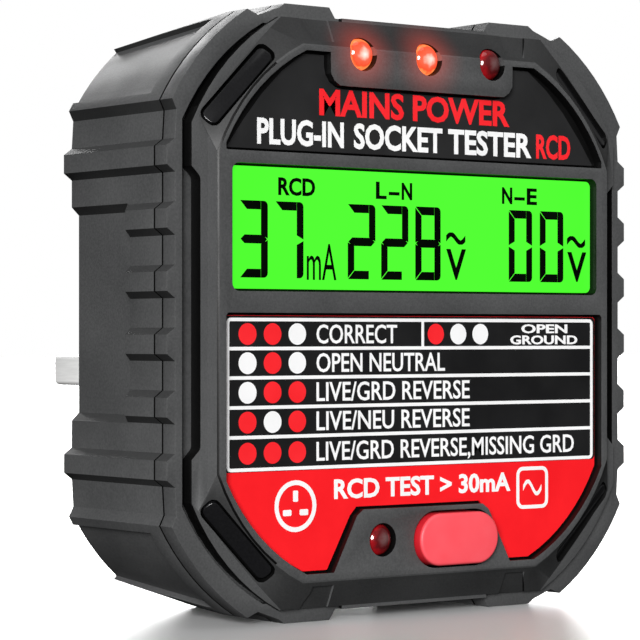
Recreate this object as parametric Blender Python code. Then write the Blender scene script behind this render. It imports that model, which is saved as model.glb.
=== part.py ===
"""Plug-in mains socket tester with a display, indicator lamps and a residual-current test button.

Lengths here are in millimetres, and MM turns them into metres. A place is given as
(across, depth, up): across runs to the right, up runs upwards, and depth runs back from the front
of the case ring. The frame's origin is the middle of the plug face, with +Y going into the wall.
"""

from math import cos, pi, radians, sin, sqrt

import bmesh
import bpy
from mathutils import Matrix, Vector

MM = 0.001
GAP = 0.3  # clearance between pieces that touch on the real thing

# Depths of the main planes, behind the front of the case ring.
FACE_DEPTH = -2.56
RING_BACK = 2.4
SHELL_FRONT = RING_BACK + GAP
SHELL_BACK = 22.1
BACK_WALL = 2.0
PLUG_FACE = 41.75

# Case outline.
CASE_TOP = 34.75
PAD_TOP = 36.0
PAD_INNER = 12.3
PAD_OUTER = 18.8
PAD_SLOPE = 0.85
PAD_SHOULDER = 35.45
CORNER_VALLEY = (22.6, 34.4)
RIB_VALLEY = 34.1
RIB_CREST = 35.2
RIB_PITCH = 7.12
RIB_FLAT = 2.2
RIB_SLOPE = 0.8
CORNER_HIGH = (24.1, 35.0)
CORNER_LOW = (34.5, 24.15)
CORNER_BULGE = 1.0
CORNER_STEPS = 8
ROUND_BULGE = 0.41  # bulge of a quarter circle, over its radius
SHORT_RIB_BACK = 9.9
SHORT_RIB_SLOPE = 1.3
SIDE_PANEL_HALF_HEIGHT = 11.75
SIDE_PANEL_FLARE = 12.7
SIDE_PANEL = 33.1
CORNER_PANEL_FRONT = 5.2
CORNER_PANEL_RECESS = 0.6

# Face bezel.
RIM_DEPTH = -2.36
RIM_HIGH = (17.9, 31.2)
RIM_LOW = (30.0, 18.3)
RIM_BULGE = 1.66
BAND_HIGH = (20.0, 34.3)
BAND_LOW = (31.5, 22.3)
BAND_BULGE = 0.3
LEDGE_DEPTH = -0.9
LEDGE_HIGH = (20.2, 34.3)
LEDGE_LOW = (32.45, 21.5)
LEDGE_BULGE = 1.46
LIP_HALF_HEIGHT = 34.7
PLUG_IN_HIGH = (21.3, 33.1)
PLUG_IN_BULGE = 1.35
SEAT_HIGH = (21.9, 33.5)
SEAT_LOW = (33.1, 21.9)
SEAT_BULGE = 1.24
BEZEL_BACK = 1.0
WAIST = 31.25
WAIST_HALF_HEIGHT = 15.4
NOTCH_INNER = 13.2
NOTCH_OUTER = 16.3
LABEL_DEPTH = -1.56
LABEL_THICKNESS = 0.3
LABEL_HIGH = (17.5, 30.45)
LABEL_LOW = (28.85, 19.3)
LABEL_BULGE = 1.35
LABEL_CORNER = 0.3
LOWER_LABEL_TOP = 0.05
LOWER_LABEL_RISE = 0.25
UPPER_LABEL_BOTTOM = 18.5
LAMP_PANEL_HALF_WIDTH = 14.0
LAMP_PANEL_BOTTOM = 26.6
LAMP_PANEL_RADIUS = 2.6
BUTTON_PANEL_TOP = -23.0
BUTTON_PANEL_TOP_HALF_WIDTH = 9.8
BUTTON_PANEL_FOOT_HALF_WIDTH = 13.9
INSERT_LENGTH = 12.4
INSERT_WIDTH = 2.6
INSERT_CENTRE = (26.6, 26.15)
INSERT_SLOPE = radians(32.0)

# Display.
WINDOW_HALF_WIDTH = 28.0
WINDOW_BOTTOM = 2.5
WINDOW_TOP = 17.1
WINDOW_DEPTH = -1.73
WINDOW_THICKNESS = 1.0
GLASS_DEPTH = 1.3
GLASS_THICKNESS = 1.8

# Lamps and button.
LAMP_DIAMETER = 3.8
LAMP_HOLE = 4.0
LAMP_PROUD = 0.25
LAMP_BACK = 2.1
LEAD_SPACING = 1.27
LAMP_HEIGHT = 30.5
LAMP_SPACING = 9.95
LAMP_OFFSET = 0.8
TEST_LAMP = (-6.3, -26.7)
BUTTON_CENTRE = (4.8, -27.0)
BUTTON_LENGTH = 12.2
BUTTON_WIDTH = 6.3
BUTTON_PROUD = 1.1
BUTTON_TRAVEL = 0.8
PLUNGER_FRONT = 3.6

# Circuit boards.
DISPLAY_BOARD_DEPTH = 6.4
DISPLAY_BOARD_THICKNESS = 1.2
MAINS_BOARD_DEPTH = 13.0
MAINS_BOARD_THICKNESS = 1.6

# Fixings.
CASE_SCREW = 25.2
CASE_SCREW_HEAD = 4.6
CASE_SCREW_SHANK = 2.0
CASE_SCREW_SEAT = 20.5
POST_DIAMETER = 5.2
RING_POST_BACK = 8.0
BOARD_SCREW = 21.0
BOARD_SCREW_HEAD = 3.8
BOARD_SCREW_SHANK = 1.6
BOARD_POST_DIAMETER = 4.2
MAINS_SCREW = (21.4, 14.0)
PLUG_SCREW_HEIGHT = 22.0
PLUG_SCREW_TIP = 29.0

# Thirteen-amp plug: three flat pins, the upper one longer and upright.
EARTH_PIN = (4.0, 8.0, 22.7)
LINE_PIN = (6.35, 4.0, 17.7)
EARTH_HEIGHT = 15.0
LINE_HEIGHT = EARTH_HEIGHT - 22.2
LINE_SPACING = 22.2
SLEEVE_LENGTH = 9.5
SLEEVE_WALL = 0.5
PIN_CHAMFER = 0.9
PIN_TAIL = 34.5
PLUG_BASE = (21.6, 24.6)
PLUG_TIP = (19.6, 22.6)
PLUG_WALL = 2.2
PLUG_PLATE = 2.5
BACK_OPENING = (17.5, 20.0)

# Finish: colour, roughness, metallic.
BLACK_PLASTIC = ((0.055, 0.056, 0.058), 0.55, 0.0)
GLOSS_BLACK = ((0.012, 0.012, 0.013), 0.12, 0.0)
LABEL_BLACK = ((0.018, 0.018, 0.018), 0.45, 0.0)
LABEL_RED = ((0.85, 0.02, 0.03), 0.45, 0.0)
DISPLAY_GREEN = ((0.07, 0.95, 0.03), 0.2, 0.0)
GLASS = ((0.55, 0.62, 0.55), 0.08, 0.0)
DIFFUSER = ((0.85, 0.88, 0.85), 0.35, 0.0)
RUBBER = ((0.05, 0.05, 0.05), 0.8, 0.0)
LAMP_RED = ((0.55, 0.01, 0.01), 0.12, 0.0)
BUTTON_RED = ((0.95, 0.1, 0.12), 0.4, 0.0)
BOARD_GREEN = ((0.02, 0.18, 0.07), 0.4, 0.0)
CHIP_BLACK = ((0.02, 0.02, 0.022), 0.5, 0.0)
CERAMIC = ((0.8, 0.79, 0.74), 0.6, 0.0)
FILM_YELLOW = ((0.8, 0.6, 0.08), 0.4, 0.0)
STEEL = ((0.6, 0.6, 0.61), 0.35, 1.0)
BRASS = ((0.83, 0.7, 0.42), 0.25, 1.0)
SLEEVE_BLACK = ((0.03, 0.03, 0.032), 0.5, 0.0)
CARRIER_WHITE = ((0.75, 0.75, 0.73), 0.5, 0.0)


def clear_scene():
    for item in list(bpy.data.objects):
        bpy.data.objects.remove(item)


def finish_material(name, finish):
    """A Principled material from (colour, roughness, metallic)."""
    colour, roughness, metallic = finish
    material = bpy.data.materials.new(name)
    material.use_nodes = True
    shader = material.node_tree.nodes["Principled BSDF"]
    shader.inputs["Base Color"].default_value = (*colour, 1.0)
    shader.inputs["Roughness"].default_value = roughness
    shader.inputs["Metallic"].default_value = metallic
    return material


def place(across, depth, up):
    """The world place of a point given in millimetres from the front of the case ring."""
    return Vector((across, depth - PLUG_FACE, up)) * MM


def make_object(name, solid, finish=None, at=(0.0, 0.0, 0.0)):
    """An object from a bmesh drawn in millimetres about the place given by at."""
    bmesh.ops.recalc_face_normals(solid, faces=solid.faces)
    bmesh.ops.scale(solid, vec=(MM, MM, MM), verts=solid.verts)
    mesh = bpy.data.meshes.new(name)
    solid.to_mesh(mesh)
    solid.free()
    mesh.shade_smooth()
    mesh.set_sharp_from_angle(angle=radians(32.0))
    made = bpy.data.objects.new(name, mesh)
    made.location = place(*at)
    bpy.context.scene.collection.objects.link(made)
    if finish:
        mesh.materials.append(finish_material(name, finish))
    return made


def combine(target, operation, solid):
    """Cut a solid from the target or join one to it. The solid shares the target's origin."""
    label = f"{target.name}_{operation.lower()}_{len(target.modifiers)}"
    tool = make_object(label, solid)
    tool.location = target.location
    tool.hide_render = True
    tool.display_type = "WIRE"
    modifier = target.modifiers.new(label, "BOOLEAN")
    modifier.operation = operation
    modifier.solver = "EXACT"
    modifier.object = tool


def cut(target, solid):
    combine(target, "DIFFERENCE", solid)


def join(target, solid):
    combine(target, "UNION", solid)


def loft(solid, sections):
    """Add a closed body through outlines of (across, up) points, each at its own depth."""
    rings = []
    for depth, outline in sections:
        rings.append([solid.verts.new((across, depth, up)) for across, up in outline])
    for near, far in zip(rings, rings[1:]):
        for index, corner in enumerate(near):
            after = (index + 1) % len(near)
            solid.faces.new((corner, near[after], far[after], far[index]))
    solid.faces.new(rings[0])
    solid.faces.new(reversed(rings[-1]))
    return solid


def prism(outline, front, back, solid=None):
    """A straight body with this outline, from one depth to another."""
    return loft(solid or bmesh.new(), [(front, outline), (back, outline)])


def circle(diameter, centre=(0.0, 0.0), steps=20):
    turns = [2.0 * pi * step / steps for step in range(steps)]
    radius = diameter / 2.0
    return [(centre[0] + radius * cos(turn), centre[1] + radius * sin(turn)) for turn in turns]


def turned(profile, centre=(0.0, 0.0), steps=20, solid=None):
    """A body turned about the depth axis, from (diameter, depth) pairs, front to back."""
    sections = [(depth, circle(diameter, centre, steps)) for diameter, depth in profile]
    return loft(solid or bmesh.new(), sections)


def rounded(corners, radius, steps=4):
    """A closed outline whose corners are rounded with arcs of this radius."""
    outline = []
    for index, corner in enumerate(corners):
        here = Vector(corner)
        before = (Vector(corners[index - 1]) - here).normalized()
        after = (Vector(corners[(index + 1) % len(corners)]) - here).normalized()
        half_angle = before.angle(after) / 2.0
        centre = here + (before + after).normalized() * radius / sin(half_angle)
        start = here + before * radius * cos(half_angle) / sin(half_angle) - centre
        end = here + after * radius * cos(half_angle) / sin(half_angle) - centre
        for step in range(steps + 1):
            spoke = start.lerp(end, step / steps).normalized() * radius
            outline.append(tuple(centre + spoke))
    return outline


def rectangle(half_width, bottom, top, centre=0.0):
    left = centre - half_width
    right = centre + half_width
    return [(left, bottom), (right, bottom), (right, top), (left, top)]


def stadium(length, width, centre=(0.0, 0.0)):
    """A slot outline with round ends, a little short of full half circles."""
    half_width = width / 2.0
    box = rectangle(length / 2.0, centre[1] - half_width, centre[1] + half_width, centre[0])
    return rounded(box, half_width * 0.98, steps=8)


def octagon(high, low, radius, steps=4):
    """A rounded octagon from the two ends of its upper right corner's cut."""
    return rounded(mirrored([high, low]), radius, steps)


def bowed(high, low, bulge, after=()):
    """An outline with a bowed cut at each corner, and any points that come after the cut's low end."""
    return mirrored(arc(high, low, bulge, CORNER_STEPS) + list(after))


def mirrored(quadrant):
    """The whole closed outline from its upper right quarter, drawn from the top to the side."""
    lower = [(across, -up) for across, up in reversed(quadrant)]
    right = quadrant + lower
    return right + [(-across, up) for across, up in reversed(right)]


def arc(start, end, bulge, steps):
    """Points on a circular arc between two points, standing out to the left by bulge."""
    first = Vector(start)
    chord = Vector(end) - first
    outward = Vector((-chord.y, chord.x)).normalized()
    radius = (chord.length_squared / 4.0 + bulge * bulge) / (2.0 * bulge)
    points = []
    for step in range(steps + 1):
        along = step / steps
        offset = (along - 0.5) * chord.length
        height = sqrt(radius * radius - offset * offset) - (radius - bulge)
        points.append(tuple(first + chord * along + outward * height))
    return points


def case_outline():
    """Outline of the case: a foot pad either side of the middle, bowed corners and side ribs."""
    top = [
        (PAD_INNER - PAD_SLOPE, CASE_TOP),
        (PAD_INNER, PAD_TOP),
        (PAD_OUTER, PAD_TOP),
        (PAD_OUTER + PAD_SLOPE, PAD_SHOULDER),
        CORNER_VALLEY,
    ]
    corner = arc(CORNER_HIGH, CORNER_LOW, CORNER_BULGE, CORNER_STEPS)
    side = [(33.9, 22.95)]
    for rib in (2.5, 1.5, 0.5):
        middle = rib * RIB_PITCH
        reach = RIB_FLAT / 2.0
        side.append((RIB_VALLEY, middle + reach + RIB_SLOPE))
        side.append((RIB_CREST, middle + reach))
        side.append((RIB_CREST, middle - reach))
        side.append((RIB_VALLEY, middle - reach - RIB_SLOPE))
    return mirrored(top + corner + side)


def four_corners(across, up):
    return [(side * across, level * up) for side in (-1.0, 1.0) for level in (-1.0, 1.0)]


def front_ring():
    """The bumper ring round the face, with a seat for the bezel and a post for each case screw."""
    ring = make_object("front_ring", prism(case_outline(), 0.0, RING_BACK), BLACK_PLASTIC)
    seat_back = BEZEL_BACK + GAP
    cut(ring, prism(bowed(SEAT_HIGH, SEAT_LOW, SEAT_BULGE), -1.0, seat_back))
    cut(ring, prism(octagon((17.45, 33.05), (30.6, 19.9), 3.0), seat_back - 0.5, RING_BACK + 1.0))
    posts = bmesh.new()
    pilots = bmesh.new()
    for corner in four_corners(CASE_SCREW, CASE_SCREW):
        prism(circle(POST_DIAMETER, corner), seat_back + 0.2, RING_POST_BACK, posts)
        prism(circle(CASE_SCREW_SHANK + 2 * GAP, corner, 12), 3.0, RING_POST_BACK + 1.0, pilots)
    join(ring, posts)
    cut(ring, pilots)


def side_panel_cutter():
    """The recess behind the short ribs of each side. Its front end and its edges slant outward."""
    solid = bmesh.new()
    outer = RIB_CREST + 2.0
    for side in (-1.0, 1.0):
        sections = []
        for depth, inner in (
            (SHORT_RIB_BACK - SHORT_RIB_SLOPE, RIB_CREST + 0.05),
            (SHORT_RIB_BACK, SIDE_PANEL),
            (SHELL_BACK + 1.0, SIDE_PANEL),
        ):
            upper = [
                (side * outer, SIDE_PANEL_FLARE),
                (side * (inner + 1.0), SIDE_PANEL_FLARE),
                (side * inner, SIDE_PANEL_HALF_HEIGHT),
            ]
            lower = [(across, -up) for across, up in reversed(upper)]
            sections.append((depth, upper + lower))
        loft(solid, sections)
    return solid


def corner_panel_cutter():
    """Shallow recess behind each bowed corner, with an upper edge that slants outward to the back."""
    solid = bmesh.new()
    arc_points = arc(CORNER_HIGH, CORNER_LOW, CORNER_BULGE, 40)
    steps = 8

    def strip(first, last, depth, inset):
        inner = []
        outer = []
        for step in range(steps + 1):
            index = round(first + (last - first) * step / steps)
            point = Vector(arc_points[index])
            inward = point.normalized()
            inner.append(tuple(point - inward * inset))
            outer.append(tuple(point + inward * 3.0))
        return depth, inner + list(reversed(outer))

    sections = [
        strip(4, 37, CORNER_PANEL_FRONT, -0.05),
        strip(4, 37, CORNER_PANEL_FRONT + 1.2, CORNER_PANEL_RECESS),
        strip(14, 37, SHELL_BACK + 1.0, CORNER_PANEL_RECESS),
    ]
    for side in (-1.0, 1.0):
        for level in (-1.0, 1.0):
            turned_sections = []
            for depth, outline in sections:
                turned_sections.append((depth, [(side * x, level * z) for x, z in outline]))
            loft(solid, turned_sections)
    return solid


def corner_taper_cutter():
    """Wedges that bring the top and foot of each bowed corner inward towards the back."""
    solid = bmesh.new()
    inner = PAD_INNER - 0.3
    outer = 31.0
    clear = PAD_TOP + 6.0
    for side in (-1.0, 1.0):
        for level in (-1.0, 1.0):
            sections = []
            for depth, inner_up, outer_up in (
                (SHELL_FRONT + 0.4, 39.15, 32.75),
                (SHELL_BACK + 1.0, 37.35, 30.9),
            ):
                outline = [(inner, inner_up), (outer, outer_up), (outer, clear), (inner, clear)]
                sections.append((depth, [(side * across, level * up) for across, up in outline]))
            loft(solid, sections)
    return solid


def rear_shell():
    """The deep back half of the case, hollow, with posts for the case screws and mains board."""
    body = prism(case_outline(), SHELL_FRONT, SHELL_BACK)
    shell = make_object("rear_shell", body, BLACK_PLASTIC)
    wall_front = SHELL_BACK - BACK_WALL
    cut(shell, prism(octagon((23.8, 32.2), (31.3, 24.7), 2.0), SHELL_FRONT - 1.0, wall_front))
    cut(shell, side_panel_cutter())
    cut(shell, corner_panel_cutter())
    cut(shell, corner_taper_cutter())

    posts = bmesh.new()
    holes = bmesh.new()
    head_hole = CASE_SCREW_HEAD + 2 * GAP
    shank_hole = CASE_SCREW_SHANK + 2 * GAP
    profile = [
        (shank_hole, RING_POST_BACK - 1.0),
        (shank_hole, CASE_SCREW_SEAT),
        (head_hole, CASE_SCREW_SEAT),
        (head_hole, SHELL_BACK + 1.0),
    ]
    for corner in four_corners(CASE_SCREW, CASE_SCREW):
        prism(circle(POST_DIAMETER + 1.2, corner), RING_POST_BACK + GAP, wall_front + 0.5, posts)
        turned(profile, corner, 16, holes)
    board_hole = BOARD_SCREW_SHANK + 2 * GAP
    board_back = mains_board_back()
    for corner in four_corners(*MAINS_SCREW):
        prism(circle(BOARD_POST_DIAMETER, corner, 14), board_back + GAP, wall_front + 0.5, posts)
        prism(circle(board_hole, corner, 10), board_back - 1.0, wall_front - 1.1, holes)
    join(shell, posts)
    cut(shell, holes)

    plug_holes = bmesh.new()
    opening = rectangle(BACK_OPENING[0], -BACK_OPENING[1], BACK_OPENING[1])
    prism(rounded(opening, 3.0), wall_front - 1.0, SHELL_BACK + 1.0, plug_holes)
    for level in (-1.0, 1.0):
        hole = circle(board_hole, (0.0, level * PLUG_SCREW_HEIGHT), 12)
        prism(hole, wall_front - 1.0, SHELL_BACK + 1.0, plug_holes)
    cut(shell, plug_holes)


def mains_board_back():
    return MAINS_BOARD_DEPTH + MAINS_BOARD_THICKNESS


def display_board_back():
    return DISPLAY_BOARD_DEPTH + DISPLAY_BOARD_THICKNESS


def insert_frame(side, level):
    """Frame of a corner insert: local X along it, local Y out of the sloping band, in millimetres."""
    along = Vector((side, 0.0, -level)).normalized()
    outward = Vector((side, 0.0, level)).normalized()
    normal = Vector((0.0, -cos(INSERT_SLOPE), 0.0)) + outward * sin(INSERT_SLOPE)
    across = along.cross(normal)
    frame = Matrix((along, normal, across)).transposed().to_4x4()
    middle_depth = (FACE_DEPTH + LEDGE_DEPTH) / 2.0
    frame.translation = Vector((side * INSERT_CENTRE[0], middle_depth, level * INSERT_CENTRE[1]))
    return frame


def insert_body(length, width, low, high):
    """A pill-shaped plate between two heights on the sloping band, drawn in the insert's frame."""
    outline = rounded(rectangle(length / 2.0, -width / 2.0, width / 2.0), width * 0.35, steps=3)
    return prism(outline, low, high)


def label_bend(margin):
    """The bowed corner of a label recess, from its top to its side. A margin makes it smaller."""
    high = (LABEL_HIGH[0] - margin * 0.4, LABEL_HIGH[1] - margin)
    low = (LABEL_LOW[0] - margin, LABEL_LOW[1] - margin * 0.4)
    return arc(high, low, LABEL_BULGE, CORNER_STEPS)


def upper_label_outline(margin):
    """The label over the display, drawn round the lamp panel. A margin makes it smaller."""
    bottom = UPPER_LABEL_BOTTOM + margin
    inner = LAMP_PANEL_HALF_WIDTH + margin
    notch = LAMP_PANEL_BOTTOM - margin
    panel_high = (inner, notch + LAMP_PANEL_RADIUS)
    panel_low = (inner - LAMP_PANEL_RADIUS, notch)
    panel_corner = arc(panel_high, panel_low, LAMP_PANEL_RADIUS * ROUND_BULGE, 4)
    side = LABEL_LOW[0] - margin
    half = panel_corner[::-1] + [(inner, LABEL_HIGH[1] - margin)] + label_bend(margin)
    half += [(side, bottom + LABEL_CORNER * 0.2), (side - LABEL_CORNER, bottom)]
    return half + [(-across, up) for across, up in reversed(half)]


def lower_label_outline(margin):
    """The fault chart label under the display, drawn round the button panel."""
    top = LOWER_LABEL_TOP - margin
    side = LABEL_LOW[0] - margin
    foot = BUTTON_PANEL_FOOT_HALF_WIDTH - 0.35 + margin
    half = [(side - LABEL_CORNER, top), (side, top - LABEL_CORNER)]
    half += [(across, LOWER_LABEL_RISE - up) for across, up in reversed(label_bend(margin))]
    half.append((foot, margin - LABEL_HIGH[1] + LOWER_LABEL_RISE))
    half.append((BUTTON_PANEL_TOP_HALF_WIDTH + margin + 0.35, BUTTON_PANEL_TOP - 0.7))
    half.append((BUTTON_PANEL_TOP_HALF_WIDTH + margin - 0.6, BUTTON_PANEL_TOP + margin))
    return half + [(-across, up) for across, up in reversed(half)]


def face_bezel():
    """The raised face: rim, sloping band, outer ledge, label recesses and holes."""
    rim = bowed(RIM_HIGH, RIM_LOW, RIM_BULGE, [(RIM_LOW[0], RIM_LOW[1] - 0.3)])
    inset = 0.2
    top_high = (RIM_HIGH[0] - inset / 2.0, RIM_HIGH[1] - inset)
    top_low = (RIM_LOW[0] - inset, RIM_LOW[1] - inset / 2.0)
    rim_top = bowed(top_high, top_low, RIM_BULGE, [(top_low[0], top_low[1] - 0.3)])
    foot = bowed(BAND_HIGH, BAND_LOW, BAND_BULGE, [(RIM_LOW[0] + 0.25, BAND_LOW[1] - 1.4)])
    block = [(FACE_DEPTH, rim_top), (RIM_DEPTH, rim), (LEDGE_DEPTH, foot), (LEDGE_DEPTH + 0.3, foot)]
    bezel = make_object("face_bezel", loft(bmesh.new(), block), BLACK_PLASTIC)

    join(bezel, prism(bowed(LEDGE_HIGH, LEDGE_LOW, LEDGE_BULGE), LEDGE_DEPTH, -GAP))
    between_pads = rectangle(PAD_INNER - PAD_SLOPE - GAP, -LIP_HALF_HEIGHT, LIP_HALF_HEIGHT)
    join(bezel, prism(between_pads, LEDGE_DEPTH, -GAP))
    plug_in = bowed(PLUG_IN_HIGH, LEDGE_LOW, PLUG_IN_BULGE)
    join(bezel, prism(plug_in, LEDGE_DEPTH + 0.3, BEZEL_BACK))
    narrowed = bmesh.new()
    outer = LEDGE_LOW[0] + 1.5
    flare = WAIST_HALF_HEIGHT + outer - WAIST
    for side in (-1.0, 1.0):
        waist = [
            (side * WAIST, -WAIST_HALF_HEIGHT),
            (side * WAIST, WAIST_HALF_HEIGHT),
            (side * outer, flare),
            (side * outer, -flare),
        ]
        prism(rounded(waist, 0.8), LEDGE_DEPTH - 1.0, BEZEL_BACK + 1.0, narrowed)
    cut(bezel, narrowed)

    posts = bmesh.new()
    for corner in four_corners(BOARD_SCREW, BOARD_SCREW):
        prism(circle(BOARD_POST_DIAMETER, corner, 14), BEZEL_BACK - 0.6, DISPLAY_BOARD_DEPTH - GAP, posts)
    join(bezel, posts)

    recesses = bmesh.new()
    floor = LABEL_DEPTH + LABEL_THICKNESS + GAP
    prism(upper_label_outline(0.0), FACE_DEPTH - 1.0, floor, recesses)
    prism(lower_label_outline(0.0), FACE_DEPTH - 1.0, floor, recesses)
    window = rectangle(WINDOW_HALF_WIDTH, WINDOW_BOTTOM, WINDOW_TOP)
    prism(rounded(window, 0.9), FACE_DEPTH - 1.0, WINDOW_DEPTH + WINDOW_THICKNESS + GAP, recesses)
    cut(bezel, recesses)
    cut(bezel, band_notches())

    pockets = bmesh.new()
    for side in (-1.0, 1.0):
        for level in (-1.0, 1.0):
            pocket = insert_body(INSERT_LENGTH, INSERT_WIDTH, -1.6, 2.0)
            bmesh.ops.transform(pocket, matrix=insert_frame(side, level), verts=pocket.verts)
            append_solid(pockets, pocket)
    cut(bezel, pockets)

    holes = bmesh.new()
    back = BEZEL_BACK + 1.0
    lip = 1.4
    inner_window = rectangle(WINDOW_HALF_WIDTH - lip, WINDOW_BOTTOM + lip, WINDOW_TOP - lip)
    prism(rounded(inner_window, 0.6, steps=2), WINDOW_DEPTH, back, holes)
    for centre in lamp_centres():
        prism(circle(LAMP_HOLE, centre, 24), FACE_DEPTH - 1.0, back, holes)
    button_hole = stadium(BUTTON_LENGTH + 2 * GAP, BUTTON_WIDTH + 2 * GAP, BUTTON_CENTRE)
    prism(button_hole, FACE_DEPTH - 1.0, back, holes)
    for corner in four_corners(BOARD_SCREW, BOARD_SCREW):
        prism(circle(BOARD_SCREW_SHANK + 2 * GAP, corner, 10), BEZEL_BACK + 1.0, DISPLAY_BOARD_DEPTH, holes)
    cut(bezel, holes)


def band_notches():
    """Shallow notches in the sloping band over each foot pad, with a floor that follows the slope."""
    solid = bmesh.new()
    top = BAND_HIGH[1] + 1.7
    foot = RIM_HIGH[1] + 0.5
    for side in (-1.0, 1.0):
        for level in (-1.0, 1.0):
            sections = []
            for depth, low in ((FACE_DEPTH - 1.0, foot), (-1.77, foot), (-0.6, BAND_HIGH[1])):
                outer = NOTCH_OUTER + (low - foot) * 0.4
                outline = [(NOTCH_INNER, low), (outer, low), (outer + 0.7, top), (NOTCH_INNER, top)]
                sections.append((depth, [(side * across, level * up) for across, up in outline]))
            loft(solid, sections)
    return solid


def append_solid(target, source):
    """Copy one bmesh into another and free the source."""
    mesh = bpy.data.meshes.new("scratch")
    source.to_mesh(mesh)
    source.free()
    target.from_mesh(mesh)
    bpy.data.meshes.remove(mesh)


def lamp_centres():
    status = [(LAMP_OFFSET + column * LAMP_SPACING, LAMP_HEIGHT) for column in (-1.0, 0.0, 1.0)]
    return status + [TEST_LAMP]


def corner_inserts():
    for side, across_word in ((-1.0, "left"), (1.0, "right")):
        for level, up_word in ((1.0, "upper"), (-1.0, "lower")):
            body = insert_body(INSERT_LENGTH - 2 * GAP, INSERT_WIDTH - 2 * GAP, -1.3, -0.45)
            insert = make_object(f"corner_insert_{up_word}_{across_word}", body, GLOSS_BLACK)
            frame = insert_frame(side, level)
            insert.rotation_euler = frame.to_euler()
            insert.location = place(*frame.translation)


def labels():
    back = LABEL_DEPTH + LABEL_THICKNESS
    make_object("upper_label", prism(upper_label_outline(GAP), LABEL_DEPTH, back), LABEL_BLACK)
    make_object("fault_chart_label", prism(lower_label_outline(GAP), LABEL_DEPTH, back), LABEL_RED)


def display():
    """Window, liquid crystal cell, back light and the two strips that connect the cell to its board."""
    middle = (WINDOW_BOTTOM + WINDOW_TOP) / 2.0
    half_height = (WINDOW_TOP - WINDOW_BOTTOM) / 2.0 - GAP
    window = rounded(rectangle(WINDOW_HALF_WIDTH - GAP, -half_height, half_height), 0.7)
    place_window = (0.0, WINDOW_DEPTH, middle)
    make_object("display_window", prism(window, 0.0, WINDOW_THICKNESS), DISPLAY_GREEN, place_window)

    cell = rectangle(29.0, -8.6, 8.6)
    make_object("display_cell", prism(cell, 0.0, GLASS_THICKNESS), GLASS, (0.0, GLASS_DEPTH, middle))

    light_front = GLASS_DEPTH + GLASS_THICKNESS + GAP
    light_depth = DISPLAY_BOARD_DEPTH - GAP - light_front
    light = rectangle(27.0, -6.4, 6.4)
    make_object("display_back_light", prism(light, 0.0, light_depth), DIFFUSER, (0.0, light_front, middle))
    for name, height in (("upper_contact_strip", middle + 7.6), ("lower_contact_strip", middle - 7.6)):
        strip = rectangle(26.0, -0.6, 0.6)
        make_object(name, prism(strip, 0.0, light_depth), RUBBER, (0.0, light_front, height))


def lamps():
    """Four domed indicator lamps: three at the top, one beside the button."""
    names = ("status_lamp_left", "status_lamp_middle", "status_lamp_right", "test_lamp")
    radius = LAMP_DIAMETER / 2.0
    dome_steps = 5
    for name, centre in zip(names, lamp_centres()):
        profile = []
        for step in range(dome_steps + 1):
            turn = (0.12 + 0.88 * step / dome_steps) * pi / 2.0
            profile.append((2.0 * radius * sin(turn), radius * 0.75 * (1.0 - cos(turn)) - LAMP_PROUD))
        profile.append((LAMP_DIAMETER, LAMP_BACK - FACE_DEPTH))
        at = (centre[0], FACE_DEPTH, centre[1])
        lamp = make_object(name, turned(profile, steps=24), LAMP_RED, at)
        leads = bmesh.new()
        lead_back = DISPLAY_BOARD_DEPTH - GAP - FACE_DEPTH
        for side in (-1.0, 1.0):
            lead = rectangle(0.25, -0.25, 0.25, side * LEAD_SPACING / 2.0)
            prism(lead, LAMP_BACK - 0.5 - FACE_DEPTH, lead_back, leads)
        join(lamp, leads)


def test_button():
    """The sliding test button: a domed-edge cap, a retaining flange behind the bezel and a stem."""
    front = -BUTTON_PROUD
    cap = [
        (front, stadium(BUTTON_LENGTH - 0.5, BUTTON_WIDTH - 0.5)),
        (front + 0.12, stadium(BUTTON_LENGTH - 0.14, BUTTON_WIDTH - 0.14)),
        (front + 0.35, stadium(BUTTON_LENGTH, BUTTON_WIDTH)),
        (BEZEL_BACK + GAP + 0.4 - FACE_DEPTH, stadium(BUTTON_LENGTH, BUTTON_WIDTH)),
    ]
    at = (BUTTON_CENTRE[0], FACE_DEPTH, BUTTON_CENTRE[1])
    button = make_object("test_button", loft(bmesh.new(), cap), BUTTON_RED, at)
    flange_front = BEZEL_BACK + GAP - FACE_DEPTH
    flange = stadium(BUTTON_LENGTH + 1.6, BUTTON_WIDTH + 1.4)
    join(button, prism(flange, flange_front, flange_front + 0.8))
    stem_back = PLUNGER_FRONT - GAP - FACE_DEPTH
    join(button, prism(circle(3.0, steps=16), flange_front + 0.4, stem_back))


def button_switch():
    """The momentary switch on the display board and its plunger, which the button pushes."""
    body_front = 4.3
    body_back = DISPLAY_BOARD_DEPTH - GAP
    hole_back = 5.6
    at = (BUTTON_CENTRE[0], body_front, BUTTON_CENTRE[1])
    square = rectangle(3.0, -3.0, 3.0)
    body = make_object("switch_body", prism(square, 0.0, body_back - body_front), CHIP_BLACK, at)
    cut(body, prism(circle(3.4, steps=16), -1.0, hole_back - body_front))
    plunger_at = (BUTTON_CENTRE[0], PLUNGER_FRONT, BUTTON_CENTRE[1])
    plunger_back = hole_back - BUTTON_TRAVEL - 0.1
    plunger = prism(circle(2.8, steps=16), 0.0, plunger_back - PLUNGER_FRONT)
    make_object("switch_plunger", plunger, CARRIER_WHITE, plunger_at)


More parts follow.
